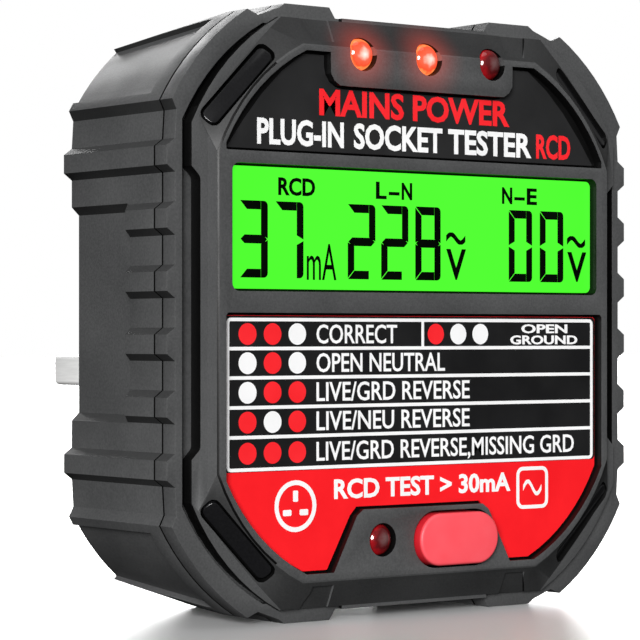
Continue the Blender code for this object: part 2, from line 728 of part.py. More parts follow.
def circuit_boards():
    """The display board behind the face and the mains board behind it, with their screw holes."""
    outline = octagon((15.0, 31.0), (27.5, 18.5), 0.8, steps=2)
    display_board = prism(outline, 0.0, DISPLAY_BOARD_THICKNESS)
    board = make_object("display_board", display_board, BOARD_GREEN, (0.0, DISPLAY_BOARD_DEPTH, 0.0))
    holes = bmesh.new()
    for corner in four_corners(BOARD_SCREW, BOARD_SCREW):
        prism(circle(BOARD_SCREW_SHANK + 2 * GAP, corner, 10), -1.0, DISPLAY_BOARD_THICKNESS + 1.0, holes)
    cut(board, holes)

    outline = octagon((18.0, 26.0), (24.5, 19.5), 0.8, steps=2)
    mains_board = prism(outline, 0.0, MAINS_BOARD_THICKNESS)
    board = make_object("mains_board", mains_board, BOARD_GREEN, (0.0, MAINS_BOARD_DEPTH, 0.0))
    holes = bmesh.new()
    for corner in four_corners(*MAINS_SCREW):
        prism(circle(BOARD_SCREW_SHANK + 2 * GAP, corner, 10), -1.0, MAINS_BOARD_THICKNESS + 1.0, holes)
    cut(board, holes)


def components():
    """Parts on the boards: controller, board-to-board header, load resistors, capacitor and fuse."""
    space_front = display_board_back() + GAP
    space_back = MAINS_BOARD_DEPTH - GAP
    chip = prism(rectangle(5.0, -5.0, 5.0), 0.0, 1.2)
    make_object("controller_chip", chip, CHIP_BLACK, (-8.0, space_front, -6.0))
    header = prism(rectangle(1.25, -8.0, 8.0), 0.0, space_back - space_front)
    make_object("board_header", header, CHIP_BLACK, (20.5, space_front, 0.0))
    for name, height in (("load_resistor_upper", -14.5), ("load_resistor_lower", -21.5)):
        block = prism(rectangle(9.5, -3.0, 3.0), 0.0, 4.4)
        make_object(name, block, CERAMIC, (4.0, space_back - 4.4, height))
    film = prism(rounded(rectangle(6.5, -2.5, 2.5), 0.4, steps=1), 0.0, 4.4)
    make_object("film_capacitor", film, FILM_YELLOW, (2.0, space_back - 4.4, 18.0))

    fuse_radius = 2.1
    outline = circle(2 * fuse_radius, steps=16)
    fuse = bmesh.new()
    loft(fuse, [(-7.5, outline), (7.5, outline)])
    upright = Matrix.Rotation(pi / 2.0, 4, "X")
    bmesh.ops.transform(fuse, matrix=upright, verts=fuse.verts)
    make_object("fuse", fuse, CERAMIC, (-14.0, space_back - fuse_radius, 8.0))


def screw(name, head, shank, head_front, tip, centre, finish=STEEL):
    """A pan-head screw along the depth axis. Its head is at head_front and its shank ends at tip."""
    forward = tip < head_front
    step = 1.0 if forward else -1.0
    head_height = 1.0
    profile = [
        (head * 0.8, head_front),
        (head, head_front - step * 0.25),
        (head, head_front - step * head_height),
        (shank, head_front - step * head_height),
        (shank, tip + step * 0.6),
        (shank * 0.5, tip),
    ]
    at = (centre[0], 0.0, centre[1])
    made = make_object(name, turned(profile, steps=16), finish, at)
    slot_depth = head_front - step * 0.45
    reach = head * 0.3
    width = head * 0.08
    lower_half = [
        (-reach, -width),
        (-width, -width),
        (-width, -reach),
        (width, -reach),
        (width, -width),
        (reach, -width),
    ]
    cross = lower_half + [(-across, -up) for across, up in lower_half]
    cut(made, prism(cross, min(slot_depth, head_front + step), max(slot_depth, head_front + step)))


def screws():
    """Every screw: through the back into the ring, and the ones that hold the boards and plug."""
    corners = ("lower_left", "upper_left", "lower_right", "upper_right")
    for corner, centre in zip(corners, four_corners(CASE_SCREW, CASE_SCREW)):
        screw(f"case_screw_{corner}", CASE_SCREW_HEAD, CASE_SCREW_SHANK, 21.8, 4.0, centre)
    board_back = display_board_back()
    for corner, centre in zip(corners, four_corners(BOARD_SCREW, BOARD_SCREW)):
        head = board_back + GAP + 1.0
        screw(f"display_board_screw_{corner}", BOARD_SCREW_HEAD, BOARD_SCREW_SHANK, head, 3.0, centre)
    for corner, centre in zip(corners, four_corners(*MAINS_SCREW)):
        head = MAINS_BOARD_DEPTH - GAP - 1.0
        screw(f"mains_board_screw_{corner}", BOARD_SCREW_HEAD, BOARD_SCREW_SHANK, head, 18.5, centre)
    for word, level in (("lower", -1.0), ("upper", 1.0)):
        head = SHELL_BACK - BACK_WALL - GAP - 1.0
        centre = (0.0, level * PLUG_SCREW_HEIGHT)
        screw(f"plug_screw_{word}", BOARD_SCREW_HEAD, BOARD_SCREW_SHANK, head, PLUG_SCREW_TIP, centre)


def line_pins():
    """The two line pins' names and their places across."""
    return (("live", LINE_SPACING / 2.0), ("neutral", -LINE_SPACING / 2.0))


def pin_slots(gap, front, back):
    """Cutters for the three pins, each larger than its pin by the gap all round."""
    slots = bmesh.new()
    places = [(EARTH_PIN, 0.0, EARTH_HEIGHT)]
    places += [(LINE_PIN, across, LINE_HEIGHT) for _, across in line_pins()]
    for (width, height, _), across, up in places:
        half_height = height / 2.0 + gap
        slot = rectangle(width / 2.0 + gap, up - half_height, up + half_height, across)
        prism(slot, front, back, slots)
    return slots


def plug_housing():
    """The plug block on the back: a tapered hollow box with a thick pin plate."""
    def section(depth, half_width, half_height, radius):
        return depth, rounded(rectangle(half_width, -half_height, half_height), radius)

    front = SHELL_BACK + GAP
    sections = [
        section(front, *PLUG_BASE, 6.0),
        section(PLUG_FACE - 1.0, *PLUG_TIP, 6.0),
        section(PLUG_FACE, PLUG_TIP[0] - 0.8, PLUG_TIP[1] - 0.8, 5.5),
    ]
    housing = make_object("plug_housing", loft(bmesh.new(), sections), BLACK_PLASTIC)
    plate_front = PLUG_FACE - PLUG_PLATE
    hollow = [
        section(front - 1.0, PLUG_BASE[0] - PLUG_WALL, BACK_OPENING[1], 3.5),
        section(plate_front, PLUG_TIP[0] - PLUG_WALL, BACK_OPENING[1], 3.5),
    ]
    cut(housing, loft(bmesh.new(), hollow))
    cut(housing, pin_slots(GAP, plate_front - 1.0, PLUG_FACE + 1.0))
    pilots = bmesh.new()
    for level in (-1.0, 1.0):
        hole = circle(BOARD_SCREW_SHANK + 2 * GAP, (0.0, level * PLUG_SCREW_HEIGHT), 12)
        prism(hole, front - 1.0, PLUG_SCREW_TIP + 0.5, pilots)
    cut(housing, pilots)

    carrier_back = plate_front - GAP
    outline = rounded(rectangle(16.5, -12.0, 19.5), 1.5, steps=2)
    carrier = make_object("pin_carrier", prism(outline, carrier_back - 2.0, carrier_back), CARRIER_WHITE)
    cut(carrier, pin_slots(GAP, carrier_back - 3.0, carrier_back + 1.0))


def blunt_bar(width, height, sections):
    """Sections of a flat bar. Each is (depth, inset), and the inset is taken off all round."""
    made = []
    for depth, inset in sections:
        half_width = width / 2.0 - inset
        half_height = height / 2.0 - inset
        made.append((depth, rounded(rectangle(half_width, -half_height, half_height), 0.35, steps=1)))
    return made


def pins():
    """Solid brass pins. The line pins are slimmer under their insulating sleeves."""
    width, height, length = EARTH_PIN
    tip = PLUG_FACE + length
    point = [(tip - PIN_CHAMFER, 0.0), (tip - 0.25, 0.45), (tip, 0.8)]
    earth = blunt_bar(width, height, [(PIN_TAIL, 0.0)] + point)
    make_object("earth_pin", loft(bmesh.new(), earth), BRASS, (0.0, 0.0, EARTH_HEIGHT))

    width, height, length = LINE_PIN
    tip = PLUG_FACE + length
    sleeve_back = PLUG_FACE + SLEEVE_LENGTH
    neck = SLEEVE_WALL + 0.25
    profile = [
        (PIN_TAIL, neck),
        (sleeve_back + GAP, neck),
        (sleeve_back + GAP, 0.0),
        (tip - PIN_CHAMFER, 0.0),
        (tip - 0.25, 0.45),
        (tip, 0.8),
    ]
    sleeve_front = PLUG_FACE - PLUG_PLATE
    for name, across in line_pins():
        at = (across, 0.0, LINE_HEIGHT)
        make_object(f"{name}_pin", loft(bmesh.new(), blunt_bar(width, height, profile)), BRASS, at)
        outer = blunt_bar(width, height, [(sleeve_front, 0.0), (sleeve_back, 0.0)])
        sleeve = make_object(f"{name}_pin_sleeve", loft(bmesh.new(), outer), SLEEVE_BLACK, at)
        inner = blunt_bar(width, height, [(sleeve_front - 1.0, SLEEVE_WALL), (sleeve_back + 1.0, SLEEVE_WALL)])
        cut(sleeve, loft(bmesh.new(), inner))


def contact_straps():
    """A folded strap from each pin's tail forward to the mains board."""
    thickness = 0.8
    foot = 4.0
    front = mains_board_back() + GAP
    back = PIN_TAIL - GAP
    profile = [(front, 0.0), (front, foot), (front + thickness, foot), (front + thickness, thickness)]
    profile += [(back, thickness), (back, 0.0)]
    places = [("earth", 0.0, EARTH_HEIGHT)]
    places += [(name, across, LINE_HEIGHT) for name, across in line_pins()]
    for name, across, up in places:
        strap = bmesh.new()
        half_width = 1.8
        sides = []
        for side in (-half_width, half_width):
            sides.append([strap.verts.new((side, depth, height)) for depth, height in profile])
        for index, corner in enumerate(sides[0]):
            after = (index + 1) % len(profile)
            strap.faces.new((corner, sides[0][after], sides[1][after], sides[1][index]))
        strap.faces.new(sides[0])
        strap.faces.new(reversed(sides[1]))
        make_object(f"{name}_strap", strap, BRASS, (across, 0.0, up - thickness / 2.0))


clear_scene()
front_ring()
rear_shell()
face_bezel()
corner_inserts()
labels()
display()
lamps()
test_button()
button_switch()
circuit_boards()
components()
screws()
plug_housing()
pins()
contact_straps()
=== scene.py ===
"""Looks of the plug-in socket tester: softened shells, printed labels, a lit display, lamps and button.

Lengths are millimetres unless a name says otherwise, and MM turns them into metres. A place is
(across, depth, up). Depth is counted back from the front of the case ring, as in the CAD.
"""

from math import cos, pi, radians, sin

import bmesh
import bpy
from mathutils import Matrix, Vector


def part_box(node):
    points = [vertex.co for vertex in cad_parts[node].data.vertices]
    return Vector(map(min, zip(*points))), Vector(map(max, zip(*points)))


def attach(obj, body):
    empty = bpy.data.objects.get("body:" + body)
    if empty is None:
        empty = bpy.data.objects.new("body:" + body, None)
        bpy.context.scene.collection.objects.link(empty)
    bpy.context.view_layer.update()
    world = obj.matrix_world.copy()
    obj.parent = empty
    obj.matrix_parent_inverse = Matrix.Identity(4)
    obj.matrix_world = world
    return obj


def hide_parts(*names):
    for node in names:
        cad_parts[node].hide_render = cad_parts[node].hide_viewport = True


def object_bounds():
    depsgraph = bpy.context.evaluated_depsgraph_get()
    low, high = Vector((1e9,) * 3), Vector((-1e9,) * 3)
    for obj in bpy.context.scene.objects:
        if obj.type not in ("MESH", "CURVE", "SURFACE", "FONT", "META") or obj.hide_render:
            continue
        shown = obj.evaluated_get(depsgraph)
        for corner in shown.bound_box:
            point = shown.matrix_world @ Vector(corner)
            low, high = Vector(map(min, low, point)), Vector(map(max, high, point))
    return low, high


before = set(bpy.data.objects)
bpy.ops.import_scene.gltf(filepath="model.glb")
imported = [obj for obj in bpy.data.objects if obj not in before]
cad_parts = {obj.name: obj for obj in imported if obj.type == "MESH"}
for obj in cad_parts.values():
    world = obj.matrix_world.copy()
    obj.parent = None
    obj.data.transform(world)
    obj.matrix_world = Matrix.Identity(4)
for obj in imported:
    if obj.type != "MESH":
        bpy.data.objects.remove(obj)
cad_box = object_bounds()

MM = 0.001
RING_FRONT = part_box("front_ring")[0].y
FACE = -2.56  # depth of the rim's front
LEDGE = -0.9  # depth of the bezel's outer ledge
HOUSING = "housing"
BUTTON = "button"
INK = 0.04  # thickness of a printed layer
SHARP = radians(24.0)  # edges with a larger fold than this are softened
CASE_DARK = (0.052, 0.053, 0.054)
CASE_LIGHT = (0.088, 0.089, 0.090)
LIT_LAMPS = ("status_lamp_left", "status_lamp_middle")
UNLIT_LAMPS = ("status_lamp_right", "test_lamp")


def place(across, depth, up):
    return Vector((across * MM, RING_FRONT + depth * MM, up * MM))


def front_of(node):
    """Depth of a node's front, in millimetres."""
    return (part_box(node)[0].y - RING_FRONT) / MM


def centre_of(node):
    """(across, up) of the middle of a node, in millimetres."""
    low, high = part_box(node)
    middle = (low + high) / 2.0 / MM
    return middle.x, middle.z


# ---------------------------------------------------------------- materials


class Paint:
    """One procedural material: a Principled shader fed by noise in the object's own coordinates."""

    def __init__(self, name, colour, roughness=0.5, **fixed):
        self.material = bpy.data.materials.new(name)
        self.material.use_nodes = True
        self.tree = self.material.node_tree
        self.shader = self.tree.nodes["Principled BSDF"]
        self.shader.inputs["Base Color"].default_value = (*colour, 1.0)
        self.shader.inputs["Roughness"].default_value = roughness
        for socket, value in fixed.items():
            self.shader.inputs[socket.replace("_", " ")].default_value = value
        self.place = self.tree.nodes.new("ShaderNodeTexCoord").outputs["Object"]

    def link(self, source, target):
        self.tree.links.new(source, target)

    def texture(self, kind, size, stretch=(1.0, 1.0, 1.0)):
        """A texture node whose pattern is size millimetres across, drawn out along an axis by stretch."""
        mapping = self.tree.nodes.new("ShaderNodeMapping")
        mapping.inputs["Scale"].default_value = [1.0 / (size * MM * share) for share in stretch]
        self.link(self.place, mapping.inputs["Vector"])
        node = self.tree.nodes.new(kind)
        node.inputs["Scale"].default_value = 1.0
        self.link(mapping.outputs["Vector"], node.inputs["Vector"])
        return node

    def noise(self, size, detail=2.0, stretch=(1.0, 1.0, 1.0)):
        node = self.texture("ShaderNodeTexNoise", size, stretch)
        node.inputs["Detail"].default_value = detail
        return node.outputs["Fac"]

    def cells(self, size):
        """Distance to the nearest cell point of a Voronoi pattern."""
        return self.texture("ShaderNodeTexVoronoi", size).outputs["Distance"]

    def spread(self, value, low, high, to_low=0.0, to_high=1.0, clamp=True):
        """Map a value from low..high to to_low..to_high."""
        node = self.tree.nodes.new("ShaderNodeMapRange")
        node.clamp = clamp
        node.inputs["From Min"].default_value = low
        node.inputs["From Max"].default_value = high
        node.inputs["To Min"].default_value = to_low
        node.inputs["To Max"].default_value = to_high
        self.link(value, node.inputs["Value"])
        return node.outputs["Result"]

    def blend(self, factor, first, second):
        """Colour that goes from first to second with the factor. Both are colours, or one a socket."""
        node = self.tree.nodes.new("ShaderNodeMix")
        node.data_type = "RGBA"
        self.link(factor, node.inputs["Factor"])
        for socket, colour in ((node.inputs[6], first), (node.inputs[7], second)):
            if isinstance(colour, (tuple, list)):
                socket.default_value = (*colour, 1.0)
            else:
                self.link(colour, socket)
        return node.outputs[2]

    def along(self, axis):
        """The object's own X, Y or Z, in metres."""
        node = self.tree.nodes.new("ShaderNodeSeparateXYZ")
        self.link(self.place, node.inputs["Vector"])
        return node.outputs[axis]

    def distance(self, centre):
        """Distance in millimetres from a point given as (across, depth, up)."""
        node = self.tree.nodes.new("ShaderNodeVectorMath")
        node.operation = "DISTANCE"
        self.link(self.place, node.inputs[0])
        node.inputs[1].default_value = place(*centre)
        return self.spread(node.outputs["Value"], 0.0, MM, clamp=False)

    def calculate(self, operation, first, second):
        node = self.tree.nodes.new("ShaderNodeMath")
        node.operation = operation
        self.link(first, node.inputs[0])
        if isinstance(second, float):
            node.inputs[1].default_value = second
        else:
            self.link(second, node.inputs[1])
        return node.outputs["Value"]

    def colour(self, value):
        self.link(value, self.shader.inputs["Base Color"])

    def roughness(self, value, low, high):
        """Roughness from low to high as a noise value rises."""
        self.link(self.spread(value, 0.3, 0.7, low, high), self.shader.inputs["Roughness"])

    def bump(self, height, depth):
        """Relief of this depth in millimetres."""
        node = self.tree.nodes.new("ShaderNodeBump")
        node.inputs["Distance"].default_value = depth * MM
        node.inputs["Strength"].default_value = 1.0
        self.link(height, node.inputs["Height"])
        self.link(node.outputs["Normal"], self.shader.inputs["Normal"])


def moulded(name, dark, light, grain=0.28, roughness=(0.44, 0.62), depth=0.012, **fixed):
    """Moulded plastic: cloudy at a large scale, with a fine spark-eroded grain."""
    paint = Paint(name, light, **fixed)
    fine = paint.noise(grain, 3.0)
    cloud = paint.noise(9.0, 2.0)
    fine_share = paint.spread(fine, 0.3, 0.7, 0.0, 0.65)
    cloud_share = paint.spread(cloud, 0.3, 0.7, 0.0, 0.35)
    paint.colour(paint.blend(paint.calculate("ADD", fine_share, cloud_share), dark, light))
    paint.roughness(cloud, *roughness)
    paint.bump(fine, depth)
    return paint


def toned(name, factor):
    """The case plastic with its two tones multiplied by a factor."""
    tones = [[factor * part for part in tone] for tone in (CASE_DARK, CASE_LIGHT)]
    return moulded(name, *tones, grain=0.22)


def glow_round_lamps(paint):
    """Red light that the lit lamps throw on the plastic round them."""
    glow = (0.75, 0.06, 0.03)
    lamp_edge = 1.6
    reach = 6.2
    falloff = 2.2
    strengths = []
    for node in LIT_LAMPS:
        across, up = centre_of(node)
        away = paint.distance((across, front_of(node) + 0.9, up))
        strengths.append(paint.calculate("POWER", paint.spread(away, lamp_edge, reach, 1.0, 0.0), falloff))
    colour = paint.blend(paint.calculate("MAXIMUM", *strengths), (0.0, 0.0, 0.0), glow)
    paint.link(colour, paint.shader.inputs["Emission Color"])
    paint.shader.inputs["Emission Strength"].default_value = 0.35


def film(name, dark, light, roughness=(0.32, 0.45), shine=0.35):
    """Printed polycarbonate film: an even colour with a faint cloud and a fine matt grain."""
    paint = Paint(name, light, Specular_IOR_Level=shine)
    paint.colour(paint.blend(paint.spread(paint.noise(6.0, 4.0), 0.35, 0.65), dark, light))
    fine = paint.noise(0.12, 2.0)
    paint.roughness(fine, *roughness)
    paint.bump(fine, 0.003)
    return paint


def backlit_display():
    """Clear green display lit from behind, a little dimmer towards its edges."""
    low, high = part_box("display_window")
    paint = Paint("backlit_display", (0.02, 0.12, 0.01), 0.22, Specular_IOR_Level=0.3)
    middle = (low.x + high.x) / 2.0
    half_width = high.x - middle
    off_centre = paint.calculate("ABSOLUTE", paint.calculate("SUBTRACT", paint.along("X"), middle), 0.0)
    edge = paint.spread(off_centre, 0.6 * half_width, half_width)
    cloud = paint.spread(paint.noise(7.0, 1.0), 0.3, 0.7, 0.0, 0.5)
    dim = paint.calculate("MULTIPLY", paint.calculate("ADD", edge, cloud), 0.6)
    lit = paint.blend(dim, (0.070, 1.0, 0.026), (0.060, 0.94, 0.020))
    paint.link(lit, paint.shader.inputs["Emission Color"])
    paint.shader.inputs["Emission Strength"].default_value = 0.97
    return paint


def lit_lamp(node):
    """Red lens lit from inside: white-hot in the middle, orange towards its rim."""
    across, up = centre_of(node)
    paint = Paint(f"{node}_lit", (0.55, 0.02, 0.01), 0.12, Coat_Weight=0.6, Coat_Roughness=0.05)
    away = paint.distance((across, front_of(node) + 0.1, up))
    ripple = paint.spread(paint.noise(0.9, 2.0), 0.3, 0.7, -0.22, 0.22)
    away = paint.calculate("ADD", away, ripple)
    ramp = paint.tree.nodes.new("ShaderNodeValToRGB")
    stops = [
        (0.0, (1.0, 0.86, 0.80)),
        (0.20, (1.0, 0.55, 0.45)),
        (0.42, (1.0, 0.12, 0.06)),
        (0.72, (0.95, 0.07, 0.02)),
        (0.88, (1.0, 0.30, 0.08)),
        (1.0, (1.0, 0.12, 0.03)),
    ]
    while len(ramp.color_ramp.elements) < len(stops):
        ramp.color_ramp.elements.new(0.5)
    for element, (position, colour) in zip(ramp.color_ramp.elements, stops):
        element.position = position
        element.color = (*colour, 1.0)
    paint.link(paint.spread(away, 0.0, 2.1), ramp.inputs["Fac"])
    paint.link(ramp.outputs["Color"], paint.shader.inputs["Emission Color"])
    paint.shader.inputs["Emission Strength"].default_value = 1.15
    return paint


def dark_lamp(node):
    """Unlit red lens: deep red, with painted light making its rim brighter and a greyish painted highlight in
    the middle.
    """
    across, up = centre_of(node)
    paint = Paint(f"{node}_dark", (0.25, 0.01, 0.01), 0.14, Coat_Weight=0.8, Coat_Roughness=0.04)
    # Painted highlight: greyish in the middle of the lens, a little off centre, with painted light brighter
    # red at the rim.
    away = paint.distance((across + 0.15, front_of(node) + 0.1, up + 0.1))
    away = paint.calculate("ADD", away, paint.spread(paint.noise(0.8, 2.0), 0.3, 0.7, -0.25, 0.25))
    highlight_core = paint.blend(paint.spread(away, 0.1, 1.0), (0.16, 0.075, 0.075), (0.10, 0.006, 0.008))
    paint.colour(paint.blend(paint.spread(away, 1.15, 2.1), highlight_core, (0.42, 0.006, 0.010)))
    return paint


def metal(name, dark, light, roughness, grain, stretch, metallic=1.0):
    """Drawn or plated metal with fine lines along one axis."""
    paint = Paint(name, light, Metallic=metallic)
    lines = paint.noise(grain, 3.0, stretch)
    paint.colour(paint.blend(paint.spread(lines, 0.3, 0.7), dark, light))
    paint.roughness(lines, *roughness)
    paint.bump(lines, 0.004)
    return paint


def board_paint():
    """Solder mask over copper: darker lines between paler poured areas."""
    paint = Paint("solder_mask", (0.02, 0.16, 0.06), 0.35, Coat_Weight=0.3)
    lines = paint.spread(paint.cells(3.2), 0.32, 0.38)
    cloud = paint.spread(paint.noise(1.2, 3.0), 0.3, 0.7, 0.0, 0.4)
    shade = paint.calculate("MAXIMUM", lines, cloud)
    paint.colour(paint.blend(shade, (0.012, 0.11, 0.035), (0.03, 0.22, 0.08)))
    paint.bump(lines, 0.03)
    return paint


def speckled(name, dark, light, size, roughness):
    """Matt body with small speckles, such as ceramic, rubber or a moulded component."""
    paint = Paint(name, light)
    specks = paint.noise(size, 4.0)
    paint.colour(paint.blend(paint.spread(specks, 0.35, 0.65), dark, light))
    paint.roughness(specks, *roughness)
    paint.bump(specks, 0.01)
    return paint


def button_paint():
    """Matt red plastic, with painted shade making it darker down its sides than on its flat front."""
    paint = Paint("button_red", (1.0, 0.09, 0.11), 0.45, Specular_IOR_Level=0.4)
    front = place(0.0, front_of("test_button"), 0.0).y
    # Painted shade: the sides of the cap darker than its front.
    side = paint.spread(paint.along("Y"), front + 0.10 * MM, front + 0.45 * MM)
    cloud = paint.spread(paint.noise(3.0, 3.0), 0.3, 0.7)
    face = paint.blend(cloud, (1.0, 0.088, 0.112), (1.0, 0.105, 0.130))
    paint.colour(paint.blend(side, face, (0.60, 0.012, 0.022)))
    fine = paint.noise(0.15, 2.0)
    paint.roughness(fine, 0.38, 0.52)
    paint.bump(fine, 0.003)
    return paint


case_paint = moulded("case_plastic", CASE_DARK, CASE_LIGHT)
bezel_paint = toned("bezel_plastic", 1.0)
# Painted shade: the case plastic darkened for the sloping band round the bezel's rim.
band_shade_paint = toned("band_plastic_painted_shade", 0.42)
# Painted shade: the case plastic darkened for the downward faces under the ribs.
rib_underside_shade_paint = toned("rib_underside_painted_shade", 0.3)
# Painted shadow: the case plastic darkened for the ribs' upper slopes.
rib_slope_shade_paint = toned("rib_slope_painted_shade", 0.6)
glow_round_lamps(bezel_paint)
glow_round_lamps(band_shade_paint)
# Painted shade: near black for the gaps between case parts and in the bezel's recesses, where shade falls.
gap_shade_paint = moulded(
    "gap_painted_shade",
    (0.002, 0.002, 0.002),
    (0.004, 0.004, 0.004),
    roughness=(0.3, 0.45),
    Specular_IOR_Level=0.2,
)
plug_paint = moulded("plug_plastic", (0.030, 0.031, 0.032), (0.050, 0.051, 0.052), roughness=(0.35, 0.5))
insert_paint = moulded(
    "insert_gloss", (0.006, 0.006, 0.0065), (0.010, 0.010, 0.011), roughness=(0.14, 0.24), depth=0.001
)
sleeve_paint = moulded("sleeve_plastic", (0.016, 0.016, 0.017), (0.028, 0.028, 0.029), roughness=(0.35, 0.5))
upper_film = film("upper_film", (0.003, 0.003, 0.003), (0.005, 0.005, 0.005), shine=0.2)
charcoal_ink = film("charcoal_ink", (0.017, 0.017, 0.0175), (0.023, 0.023, 0.0235))
chart_film = film("chart_film", (0.93, 0.010, 0.016), (1.0, 0.014, 0.020))
black_ink = film("black_ink", (0.008, 0.008, 0.0085), (0.013, 0.013, 0.0135))
white_ink = film("white_ink", (0.93, 0.93, 0.93), (1.0, 1.0, 1.0))
red_ink = film("red_ink", (0.95, 0.018, 0.025), (1.0, 0.026, 0.034))
display_ink = film("display_ink", (0.001, 0.002, 0.001), (0.002, 0.004, 0.002), (0.2, 0.3), 0.0)
display_paint = backlit_display()
button_red = button_paint()
pin_metal = metal(
    "pin_nickel", (0.86, 0.86, 0.85), (0.95, 0.95, 0.94), (0.3, 0.42), 0.25, (1.0, 14.0, 1.0), metallic=0.25
)
brass = metal("strap_brass", (0.66, 0.48, 0.20), (0.83, 0.66, 0.34), (0.25, 0.4), 0.25, (1.0, 14.0, 1.0))
steel = metal("screw_steel", (0.42, 0.42, 0.43), (0.62, 0.62, 0.63), (0.25, 0.42), 0.2, (1.0, 1.0, 6.0))
solder_mask = board_paint()
chip_paint = speckled("component_black", (0.012, 0.012, 0.013), (0.028, 0.028, 0.030), 0.15, (0.4, 0.6))
ceramic = speckled("component_white", (0.62, 0.61, 0.57), (0.82, 0.81, 0.77), 0.3, (0.5, 0.7))
yellow_film = speckled("component_yellow", (0.62, 0.42, 0.04), (0.85, 0.64, 0.10), 0.8, (0.3, 0.45))
rubber = speckled("contact_rubber", (0.02, 0.02, 0.02), (0.05, 0.05, 0.05), 0.2, (0.7, 0.9))
diffuser = speckled("diffuser", (0.78, 0.82, 0.79), (0.90, 0.93, 0.90), 2.0, (0.3, 0.4))
cell_glass = speckled("cell_glass", (0.40, 0.50, 0.42), (0.52, 0.62, 0.54), 4.0, (0.05, 0.1))


# ---------------------------------------------------------------- shapes


def piece(name, mesh, body, slot, paint, *replaced):
    """A shown piece that rides on a CAD body and may stand for some of its nodes."""
    made = bpy.data.objects.new(name, mesh)
    bpy.context.scene.collection.objects.link(made)
    mesh.materials.clear()
    mesh.materials.append(paint.material)
    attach(made, body)
    if replaced:
        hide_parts(*replaced)
    return made


def finished_mesh(name, solid):
    bmesh.ops.recalc_face_normals(solid, faces=solid.faces)
    mesh = bpy.data.meshes.new(name)
    solid.to_mesh(mesh)
    solid.free()
    return mesh


def softened(node, slot, paint, radius_at, painted_shades=()):
    """A copy of a CAD node with its sharp edges rounded. radius_at gives an edge's radius.

    Each of painted_shades is (paint, test): a darker paint that stands for shade on some faces. A face whose
    middle and normal pass the test gets that paint, and a later one in the list covers an earlier one.
    """
    solid = bmesh.new()
    solid.from_mesh(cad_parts[node].data)
    bmesh.ops.remove_doubles(solid, verts=solid.verts, dist=0.001 * MM)
    bmesh.ops.dissolve_limit(solid, angle_limit=radians(0.6), verts=solid.verts, edges=solid.edges)
    weights = solid.edges.layers.float.new("bevel_weight_edge")
    for edge in solid.edges:
        if len(edge.link_faces) == 2 and edge.calc_face_angle(0.0) > SHARP:
            middle = (edge.verts[0].co + edge.verts[1].co) / 2.0
            edge[weights] = radius_at(middle.x / MM, (middle.y - RING_FRONT) / MM, middle.z / MM)
    made = piece(f"{node}_surface", finished_mesh(f"{node}_surface", solid), HOUSING, slot, paint, node)
    made.data.shade_smooth()
    for index, (other_paint, chosen) in enumerate(painted_shades, start=1):
        made.data.materials.append(other_paint.material)
        for face in made.data.polygons:
            middle = face.center
            if chosen(middle.x / MM, (middle.y - RING_FRONT) / MM, middle.z / MM, face.normal):
                face.material_index = index
    bevel = made.modifiers.new("soft_edges", "BEVEL")
    bevel.limit_method = "WEIGHT"
    bevel.width = MM  # an edge of weight 1 gets a radius of a millimetre
    bevel.segments = 3
    bevel.harden_normals = True
    return made


def loft(solid, sections):
    """Add a closed body through (depth, outline) sections, whose outlines are (across, up) points."""
    rings = []
    for depth, outline in sections:
        rings.append([solid.verts.new(place(across, depth, up)) for across, up in outline])
    for near, far in zip(rings, rings[1:]):
        for index, corner in enumerate(near):
            after = (index + 1) % len(near)
            solid.faces.new((corner, near[after], far[after], far[index]))
    solid.faces.new(rings[0])
    solid.faces.new(reversed(rings[-1]))


def plate(solid, outline, front, back):
    """Add a flat closed plate with this (across, up) outline between two depths."""
    loft(solid, [(front, outline), (back, outline)])


def hollow_plate(solid, outer, inner, front, back):
    """Add a flat frame between two outlines with the same number of points."""
    rings = []
    for outline, depth in ((outer, front), (inner, front), (inner, back), (outer, back)):
        rings.append([solid.verts.new(place(across, depth, up)) for across, up in outline])
    for index, ring in enumerate(rings):
        following = rings[(index + 1) % len(rings)]
        for step, corner in enumerate(ring):
            after = (step + 1) % len(ring)
            solid.faces.new((corner, ring[after], following[after], following[step]))


def box_outline(left, right, bottom, top):
    return [(left, bottom), (right, bottom), (right, top), (left, top)]


def rounded_box(left, right, bottom, top, radius, steps=5):
    """A rectangle with round corners."""
    outline = []
    corners = ((right, bottom, -0.5), (right, top, 0.0), (left, top, 0.5), (left, bottom, 1.0))
    for across, up, start in corners:
        centre_across = across - radius if across == right else across + radius
        centre_up = up - radius if up == top else up + radius
        for step in range(steps + 1):
            turn = (start + 0.5 * step / steps) * pi
            outline.append((centre_across + radius * cos(turn), centre_up + radius * sin(turn)))
    return outline


def disc(centre, diameter, steps=32):
    radius = diameter / 2.0
    turns = [2.0 * pi * step / steps for step in range(steps)]
    return [(centre[0] + radius * cos(turn), centre[1] + radius * sin(turn)) for turn in turns]


# ---------------------------------------------------------------- lettering


def glyphs(text, bold):
    """A flat mesh of the text in Blender's own typeface, one unit high."""
    curve = bpy.data.curves.new("lettering", "FONT")
    curve.body = text
    curve.offset = bold
    curve.resolution_u = 3
    curve.extrude = 0.5
    holder = bpy.data.objects.new("lettering", curve)
    bpy.context.scene.collection.objects.link(holder)
    bpy.context.view_layer.update()
    mesh = bpy.data.meshes.new_from_object(holder.evaluated_get(bpy.context.evaluated_depsgraph_get()))
    bpy.data.objects.remove(holder)
    bpy.data.curves.remove(curve)
    return mesh


def extent(mesh, axis):
    values = [vertex.co[axis] for vertex in mesh.vertices]
    return min(values), max(values)


